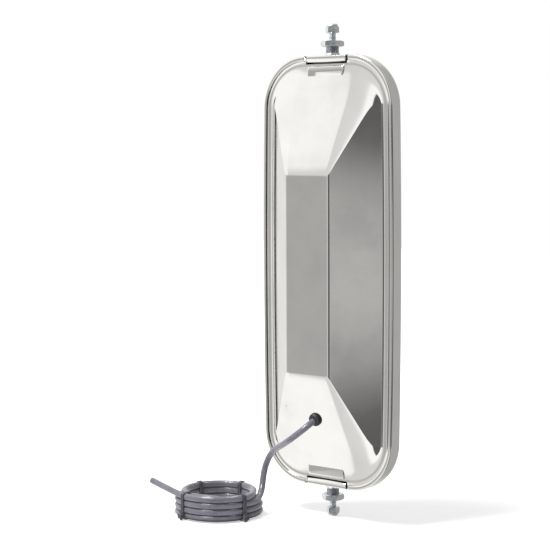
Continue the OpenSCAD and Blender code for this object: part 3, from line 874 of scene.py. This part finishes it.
# Places that the turns take in order, as (radius, height)
PLACES = [
    (OUTER_R, LAYERS[2]), (OUTER_R, LAYERS[1]), (OUTER_R, LAYERS[0]), (INNER_R, LAYERS[0]),
    (INNER_R, LAYERS[1]), (INNER_R, LAYERS[2]), (INNER_R, LAYERS[3]), (OUTER_R, LAYERS[3]),
]
# In degrees: where the coil starts, where it crosses to the next place, and how far it runs
COIL_START = 12.0
FIRST_CROSSING = 297.0
CROSSING_EVERY = 311.0
CROSSING_SPAN = 44.0
COIL_END = 2276.0
COIL_STEP = 6
CABLE_STEP = 2 * MM
# How far the turns wander in and out: a slow wave and a quick one
SLOW_WANDER, QUICK_WANDER = 0.25 * MM, 0.15 * MM


def coil_place(travel):
    """Radius and height of the turn after `travel` degrees."""
    radius, height = PLACES[0]
    for k in range(len(PLACES) - 1):
        centre = FIRST_CROSSING + k * CROSSING_EVERY
        t = (travel - centre) / CROSSING_SPAN + 0.5
        if t <= 0:
            break
        t = min(1.0, t)
        ease = t * t * (3 - 2 * t)
        radius = PLACES[k][0] + (PLACES[k + 1][0] - PLACES[k][0]) * ease
        height = PLACES[k][1] + (PLACES[k + 1][1] - PLACES[k][1]) * ease
    return radius, height


def coil_point(travel):
    """The coil's centre line after `travel` degrees, with its turns a little uneven."""
    radius, height = coil_place(travel)
    angle = math.radians(COIL_START - travel)
    radius += SLOW_WANDER * math.sin(2 * angle + 0.6) + QUICK_WANDER * math.sin(5 * angle)
    return Vector((COIL_X + radius * math.cos(angle), COIL_Y + radius * math.sin(angle), height))


def eased(points, spacing):
    """A smooth line through the points, with steps of about `spacing`."""
    line = []
    for i in range(len(points) - 1):
        p0 = points[max(i - 1, 0)]
        p1, p2 = points[i], points[i + 1]
        p3 = points[min(i + 2, len(points) - 1)]
        steps = max(1, round((p2 - p1).length / spacing))
        for k in range(steps):
            t = k / steps
            bend, twist = 2 * p0 - 5 * p1 + 4 * p2 - p3, 3 * p1 - p0 - 3 * p2 + p3
            line.append(0.5 * (2 * p1 + (p2 - p0) * t + bend * t * t + twist * t ** 3))
    line.append(points[-1])
    return line


def cable_line():
    """The whole cable's centre line, from the grommet's mouth to the free end."""
    start = GROMMET_FOOT + GROMMET_OUT * GROMMET_STAND
    turns = [coil_point(travel) for travel in range(0, int(COIL_END) + 1, COIL_STEP)]
    route = [start] + [Vector(p) for p in LEAD_ROUTE] + turns + [Vector(p) for p in TAIL_ROUTE]
    return eased(route, CABLE_STEP)


def line_length(line):
    return sum((b - a).length for a, b in zip(line, line[1:]))


CABLE_LINE = cable_line()


def make_cable():
    curve = bpy.data.curves.new("jacketed_cable", "CURVE")
    curve.dimensions = "3D"
    curve.bevel_depth = CABLE_D / 2
    curve.bevel_resolution = 5
    curve.use_fill_caps = True
    spline = curve.splines.new("POLY")
    spline.points.add(len(CABLE_LINE) - 1)
    for point, place in zip(spline.points, CABLE_LINE):
        point.co = (*place, 1)
    spline.use_smooth = True
    curve.materials.append(JACKET)
    made = bpy.data.objects.new("jacketed_cable", curve)
    bpy.context.scene.collection.objects.link(made)
    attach(made, "head")
    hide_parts("lead_cable", "cable_coil", "cable_tail")
    made.visible_glossy = False  # keeps the coil out of the shell's reflections
    return made


cable = make_cable()


def tail_frame():
    tip, before = CABLE_LINE[-1], CABLE_LINE[-3]
    along = (tip - before).normalized()
    side = along.cross(Vector((0, 0, 1))).normalized()
    return tip, along, side, side.cross(along)


def make_cable_end():
    """The cut end: a pale filler face with two insulated cores and their copper."""
    tip, along, side, up = tail_frame()

    def core(material, name, offset, radius, low, high, slot):
        centre = tip + side * offset

        def place(x, y, h):
            return tuple(centre + side * x + up * y + along * h)

        outline = [
            (0.1 * MM, low), (radius * 0.9, low), (radius, low + 0.05 * MM),
            (radius, high - 0.08 * MM), (radius * 0.92, high), (0.1 * MM, high),
        ]
        return Parts().add(lathe(outline, place, 24)).piece(name, material, "head", slot=slot)

    apart, sunk = 1.05 * MM, -0.2 * MM
    core_r, core_out = 0.95 * MM, 0.35 * MM
    copper_r, copper_out = 0.5 * MM, 0.55 * MM
    return [
        core(PALE_NYLON, "cable_filler", 0, 2.25 * MM, -0.3 * MM, 0.05 * MM, "white_nylon"),
        core(WIRE_WHITE, "core_white", -apart, core_r, sunk, core_out, "white_nylon"),
        core(WIRE_BLACK, "core_black", apart, core_r, sunk, core_out, "grey_nylon"),
        core(COPPER, "copper_white", -apart, copper_r, sunk, copper_out, "tinned_brass"),
        core(COPPER, "copper_black", apart, copper_r, sunk, copper_out, "tinned_brass"),
    ]


cable_end = make_cable_end()


# ---------- cable ties ----------

TIE_ANGLES = [89, 165, 256, 346]
TIE_W, TIE_T = 3.6 * MM, 1.05 * MM
TIE_EDGE = 0.2 * MM
TIE_GROOVE = 0.18 * MM
TIE_STEPS = 96
STRAND_STEPS = 48
# The head that the band goes through, and the stub of band that stands out of it both ways
TIE_HEAD_DEEP, TIE_HEAD_HALF, TIE_HEAD_TALL = 3.6 * MM, 2.9 * MM, 4.6 * MM
TIE_STUB_HALF, TIE_STUB_BELOW, TIE_STUB_TOP = 1.75 * MM, 1.4 * MM, 6.4 * MM
TIE_STUB_FROM, TIE_STUB_TO = 0.9 * MM, 2.1 * MM


def strands_at(angle):
    """(radius, height) of each strand where the coil passes an angle."""
    places = []
    travel = (COIL_START - angle) % 360
    while travel <= COIL_END:
        p = coil_point(travel)
        places.append((math.hypot(p.x - COIL_X, p.y - COIL_Y), p.z))
        travel += 360
    return places


def wrap(places, reach):
    """The line of a tight band round strands, as (radius, height) points."""
    dots = []
    for r, z in places:
        for k in range(STRAND_STEPS):
            a = TURN * k / STRAND_STEPS
            dots.append((r + reach * math.cos(a), z + reach * math.sin(a)))
    dots.sort()

    def turns_left(a, b, c):
        return (b[0] - a[0]) * (c[1] - a[1]) - (b[1] - a[1]) * (c[0] - a[0]) > 0

    def half(points):
        hull = []
        for p in points:
            while len(hull) > 1 and not turns_left(hull[-2], hull[-1], p):
                hull.pop()
            hull.append(p)
        return hull[:-1]

    return half(dots) + half(dots[::-1])


def resampled(loop, count):
    """The same closed line with `count` evenly spaced points."""
    points = [Vector(p) for p in loop]
    lengths = [(points[(i + 1) % len(points)] - p).length for i, p in enumerate(points)]
    total, result, i, gone = sum(lengths), [], 0, 0.0
    for k in range(count):
        want = total * k / count
        while gone + lengths[i] < want:
            gone += lengths[i]
            i += 1
        a, b = points[i], points[(i + 1) % len(points)]
        result.append(a.lerp(b, (want - gone) / lengths[i]))
    return result


def tie_place(angle):
    a = math.radians(angle)
    out = Vector((math.cos(a), math.sin(a), 0))
    along = Vector((-math.sin(a), math.cos(a), 0))

    def place(r, side, z):
        return Vector((COIL_X, COIL_Y, 0)) + out * r + along * side + Vector((0, 0, z))

    return place


def block(place, r0, r1, half_side, z0, z1, edge):
    """Rings of an upright block with rounded edges."""
    bend = edge * 1.2
    levels = [
        (z0, edge), (z0 + edge * 0.3, edge * 0.3), (z0 + edge, 0),
        (z1 - edge, 0), (z1 - edge * 0.3, edge * 0.3), (z1, edge),
    ]
    rings = []
    for z, less in levels:
        ring = []
        for outer, ahead, start in ((1, 1, 0), (-1, 1, 90), (-1, -1, 180), (1, -1, 270)):
            corner_r = (r1 if outer > 0 else r0) - outer * (less + bend)
            corner_side = ahead * (half_side - less - bend)
            for k in range(5):
                a = math.radians(start + 90 * k / 4)
                r, side = corner_r + bend * math.cos(a), corner_side + bend * math.sin(a)
                ring.append(place(r, side, z))
        rings.append(ring)
    return rings


def band_section():
    """Closed section of a tie's band as (side, height off the cable), grooved along its back."""
    half, back = TIE_W / 2, TIE_T - TIE_GROOVE
    right = [
        (half - TIE_EDGE, 0), (half, TIE_EDGE), (half, TIE_T - TIE_EDGE), (half - TIE_EDGE, TIE_T),
        (0.45 * half, TIE_T), (0.4 * half, back),
    ]
    return right + [(-side, lift) for side, lift in right[::-1]]


def make_tie(index, angle):
    """A band round all the strands at one angle, with its head and stub outside the coil."""
    place = tie_place(angle)
    strands = strands_at(angle)
    loop = resampled(wrap(strands, CABLE_D / 2 + 0.05 * MM), TIE_STEPS)
    rings = []
    for i, p in enumerate(loop):
        along = (loop[(i + 1) % len(loop)] - loop[i - 1]).normalized()
        outward = Vector((along.y, -along.x))
        lifted = [(p + outward * lift, side) for side, lift in band_section()]
        rings.append([place(q.x, side, q.y) for q, side in lifted])
    head_r = max(r for r, z in strands) + CABLE_D / 2 + 0.4 * MM
    head_z = min(z for r, z in strands) - CABLE_D / 2 + 0.4 * MM
    head = block(
        place, head_r, head_r + TIE_HEAD_DEEP, TIE_HEAD_HALF,
        head_z, head_z + TIE_HEAD_TALL, edge=0.5 * MM,
    )
    stub = block(
        place, head_r + TIE_STUB_FROM, head_r + TIE_STUB_TO, TIE_STUB_HALF,
        head_z - TIE_STUB_BELOW, head_z + TIE_STUB_TOP, edge=0.3 * MM,
    )
    made = Parts().add(rings, closed_path=True).add(head).add(stub).piece(
        "coil_tie_" + str(index), GREY_NYLON, "head",
        replaces=["cable_ties"], slot="grey_nylon",
    )
    made.visible_glossy = False
    return made


ties = [make_tie(i + 1, angle) for i, angle in enumerate(TIE_ANGLES)]

tuple(CABLE_LINE[0])
round(line_length(CABLE_LINE), 3)
cable_end + ties


# ---------- glass and its gasket ----------


GLASS_BEVEL = 0.4 * MM
GLASS_FACE_IN = 6 * MM
GASKET_WALL, GASKET_COVER = 0.85 * MM, 4.6 * MM
GASKET_CORNER, GASKET_LIP = 0.3 * MM, 0.4 * MM


def flat_rings(node, levels):
    """Rings of (inset, y) levels, inside the outline of a CAD node's box."""
    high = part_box(node)[1]
    side, end = RIM_W / 2 - high.x, RIM_H / 2 - (high.z - MID_Z)
    return [
        upright(whole(right_outline(side + inset, end + inset, side + inset, bow=0)), y)
        for inset, y in levels
    ]


def make_glass():
    back, front = (corner.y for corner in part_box("mirror_glass"))
    levels = [
        (GLASS_FACE_IN, back), (GLASS_BEVEL, back), (0, back + GLASS_BEVEL),
        (0, front - GLASS_BEVEL), (GLASS_BEVEL, front), (GLASS_FACE_IN, front),
    ]
    Parts().add(flat_rings("mirror_glass", levels)).piece(
        "silvered_glass", GLASS, "head", replaces=["mirror_glass"], slot="mirror_glass"
    )


def make_gasket():
    back, front = (corner.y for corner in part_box("glass_gasket"))
    glass_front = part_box("mirror_glass")[1].y + 0.02 * MM
    levels = [
        (GASKET_WALL, back), (0, back), (0, front - GASKET_CORNER), (GASKET_CORNER, front),
        (GASKET_COVER - GASKET_LIP, front), (GASKET_COVER, front - GASKET_LIP),
        (GASKET_COVER, glass_front), (GASKET_WALL, glass_front),
    ]
    Parts().add(flat_rings("glass_gasket", levels), closed_path=True).piece(
        "glass_edge_gasket", RUBBER, "head", replaces=["glass_gasket"], slot="black_rubber"
    )


make_glass()
make_gasket()


# ---------- studio: floor, surroundings and light ----------

FLOOR_GAP = 0.2 * MM
FLOOR_HALF = 3.0


def make_floor():
    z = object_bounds()[0].z - FLOOR_GAP
    corners = [(x * FLOOR_HALF, y * FLOOR_HALF, z) for x, y in ((-1, -1), (1, -1), (1, 1), (-1, 1))]
    mesh = bpy.data.meshes.new("floor")
    mesh.from_pydata(corners, [], [(0, 1, 2, 3)])
    mesh.materials.append(FLOOR)
    floor = bpy.data.objects.new("floor", mesh)
    bpy.context.scene.collection.objects.link(floor)
    floor.visible_glossy = False


# The studio's brightness by azimuth, in degrees: at eye height, on its shoulders, and overhead
WALLS = [
    (-180, 0.45), (-140, 0.6), (-120, 0.9), (-100, 0.95), (-84, 1.0), (-66, 0.95), (-54, 0.6),
    (-46, 0.48), (-24, 0.5), (-17, 0.62), (-13, 0.9), (-11, 0.9), (-8, 0.13), (8, 0.13),
    (12, 0.5), (16, 0.56), (58, 0.56), (66, 0.1), (122, 0.1), (132, 0.46), (179, 0.45),
]
SHOULDERS = [
    (-180, 0.45), (-155, 0.8), (-120, 1.15), (-48, 1.2), (-42.5, 1.15), (-40, 0.82), (-14, 0.86),
    (-8, 1.0), (-3, 1.2), (14, 1.2), (18, 0.12), (44, 0.12), (70, 0.5), (141, 0.45), (179, 0.45),
]
OVERHEAD = [
    (-180, 0.5), (-150, 1.0), (-120, 1.17), (-60, 1.17), (-36, 0.95), (-12, 1.1), (6, 0.95),
    (24, 0.6), (60, 0.6), (120, 0.5), (179, 0.5),
]
# How the wall on the right darkens away from eye height, and the azimuths where it does
FALL = [
    (0.0, 1.0), (0.03, 0.96), (0.045, 0.85), (0.065, 0.72), (0.084, 0.45), (0.098, 0.23),
    (0.3, 0.22),
]
FALL_SPAN = [(8, 0.0), (14, 1.0), (60, 1.0), (90, 0.0)]
# How far under the horizon eye height lies, and where the shoulders and the ceiling blend in
EYE_DIP = 0.087
SHOULDER_BLEND = (0.11, 0.2)
OVERHEAD_BLEND = (0.62, 0.8)
# Brightness that matt surfaces get from all round, and what the camera sees past the floor
FILL = (0.42, 0.42, 0.42)
WHITE = (1.0, 1.0, 1.0)


def make_studio():
    """A white studio with grey and dark walls, which are seen only in the steel."""
    world = bpy.data.worlds.new("studio")
    bpy.context.scene.world = world
    world.use_nodes = True
    nodes, links = world.node_tree.nodes, world.node_tree.links
    tree = Tree(nodes, links)
    aim = tree.node("ShaderNodeTexCoord", out="Generated")
    x, y, z = (tree.node("ShaderNodeSeparateXYZ", {}, {0: aim}, out=axis) for axis in "XYZ")
    turn = x.maths("ARCTAN2", x, 0 - y) / TURN + 0.5

    def tint(tone):
        return (tone, tone * 0.995, tone * 0.98)

    def band(tones):
        return tree.ramp(turn, [(place / 360 + 0.5, tint(tone)) for place, tone in tones])

    height = z.maths("ABSOLUTE", z + EYE_DIP)
    fall = tree.ramp(height, [(place, (share,) * 3) for place, share in FALL])
    fallen = tree.ramp(turn, [(place / 360 + 0.5, (share,) * 3) for place, share in FALL_SPAN])
    walls = tree.multiplied(band(WALLS), tree.blend(fallen, WHITE, fall))
    seen = tree.blend(tree.between(height, *SHOULDER_BLEND), walls, band(SHOULDERS))
    seen = tree.blend(tree.between(height, *OVERHEAD_BLEND), seen, band(OVERHEAD))
    diffuse_ray = tree.node("ShaderNodeLightPath", out="Is Diffuse Ray")
    camera_ray = tree.node("ShaderNodeLightPath", out="Is Camera Ray")
    colour = tree.blend(camera_ray, tree.blend(diffuse_ray, seen, FILL), WHITE)
    background = nodes["Background"]
    links.new(colour.socket, background.inputs["Color"])
    background.inputs["Strength"].default_value = 1.0


def soft_light(name, place, target, size, power):
    data = bpy.data.lights.new(name, "AREA")
    data.shape, data.size, data.energy = "SQUARE", size, power
    lamp = bpy.data.objects.new(name, data)
    lamp.location = place
    lamp.rotation_euler = (Vector(target) - Vector(place)).to_track_quat("-Z", "Y").to_euler()
    bpy.context.scene.collection.objects.link(lamp)


make_floor()
make_studio()
soft_light("key", place=(-0.55, -0.8, 2.3), target=(-0.03, 0, 0.1), size=0.7, power=62)
